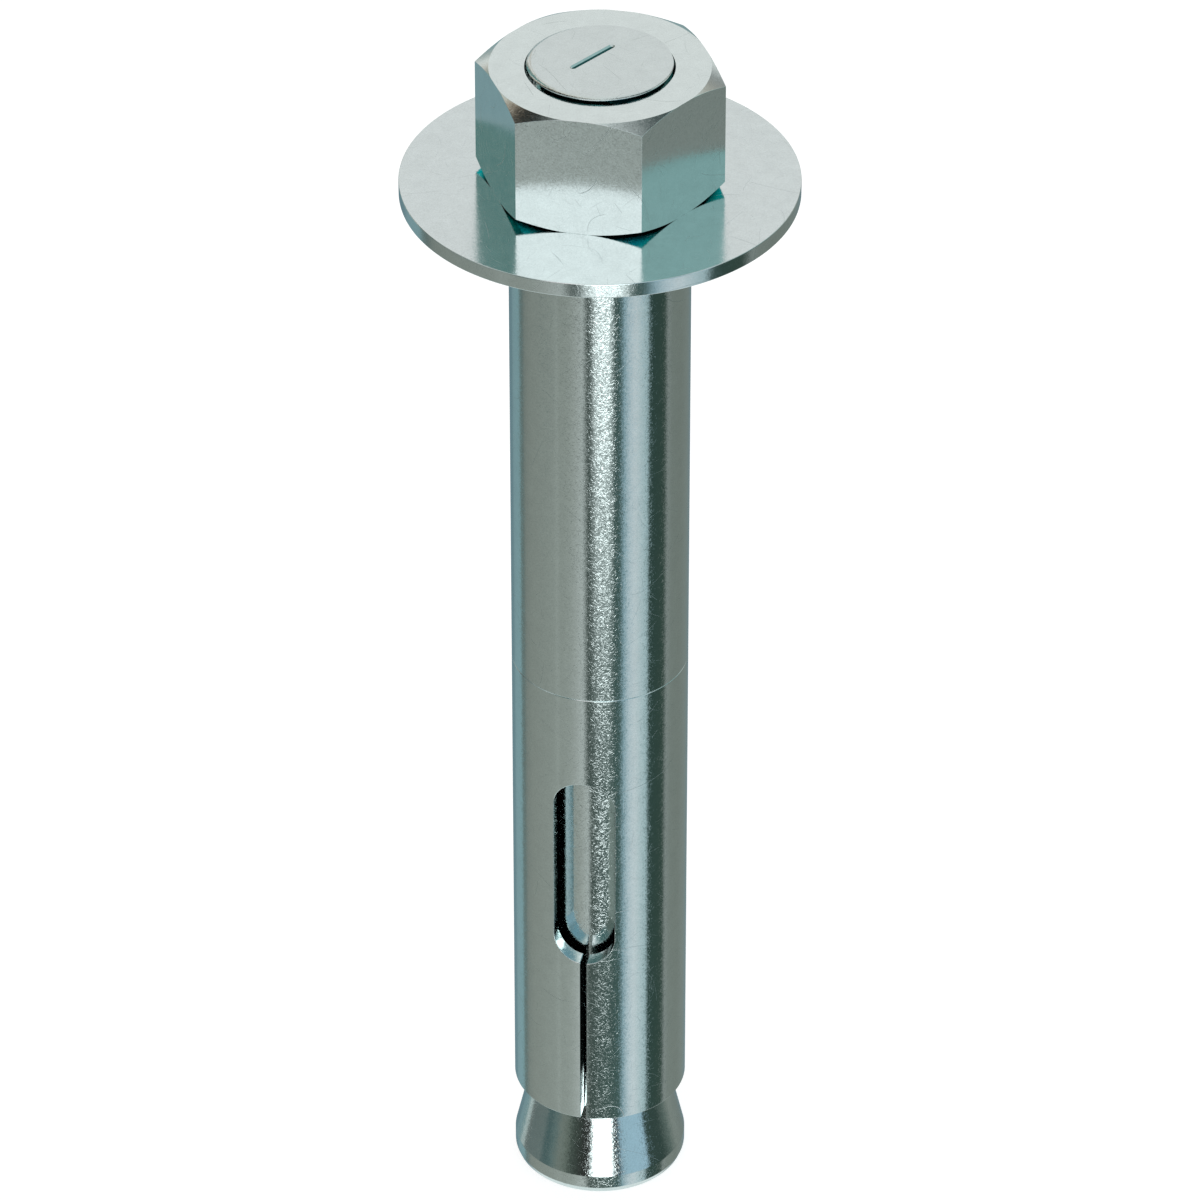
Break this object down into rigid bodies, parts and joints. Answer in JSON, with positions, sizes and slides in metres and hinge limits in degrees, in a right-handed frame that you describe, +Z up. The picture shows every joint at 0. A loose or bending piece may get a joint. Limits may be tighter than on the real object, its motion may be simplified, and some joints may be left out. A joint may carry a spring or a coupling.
{
  "type": "sleeve anchor",
  "caption": "Sleeve anchor for masonry: stud with a flared cone end, slotted expansion sleeve, spacer sleeve, flat washer and hexagon nut.",
  "frame": {"origin": "centre of the cone's flat end, which the anchor stands on", "axes": "+Z up along the stud towards the nut; one window of the expansion sleeve and one flat of the nut face -Y"},
  "size_m": [0.0346, 0.0346, 0.1176],
  "materials": {
    "stud_zinc": "bright zinc plating on rolled steel, light handling scratches",
    "sleeve_zinc": "bright zinc plating on rolled strip, fine speckle and scratches",
    "washer_zinc": "bright zinc plating on punched sheet, hairline scratches",
    "nut_zinc": "bright zinc plating on a cold-formed nut, hairline scratches"
  },
  "bodies": {
    "stud": {"stud": "stud_zinc"},
    "expansion_sleeve": {"expansion_sleeve": "sleeve_zinc"},
    "spacer_sleeve": {"spacer_sleeve": "sleeve_zinc"},
    "washer": {"washer": "washer_zinc"},
    "nut": {"nut": "nut_zinc"}
  },
  "joints": [
    {"name": "expander_spin", "type": "hinge", "parent": "stud", "child": "expansion_sleeve", "pos_m": [0, 0, 0.03255], "axis": [0, 0, 1], "continuous": true},
    {"name": "spacer_spin", "type": "hinge", "parent": "stud", "child": "spacer_sleeve", "pos_m": [0, 0, 0.08053], "axis": [0, 0, 1], "continuous": true},
    {"name": "washer_rise", "type": "slide", "parent": "stud", "child": "washer", "axis": [0, 0, 1], "range_m": [0, 0.00977]},
    {"name": "nut_turn", "type": "hinge", "parent": "washer", "child": "nut", "pos_m": [0, 0, 0.11162], "axis": [0, 0, 1], "range_deg": [0, 1800]}
  ],
  "couplings": [
    {"joint": "washer_rise", "follows": "nut_turn", "m_per_rad": 0.00031096}
  ]
}
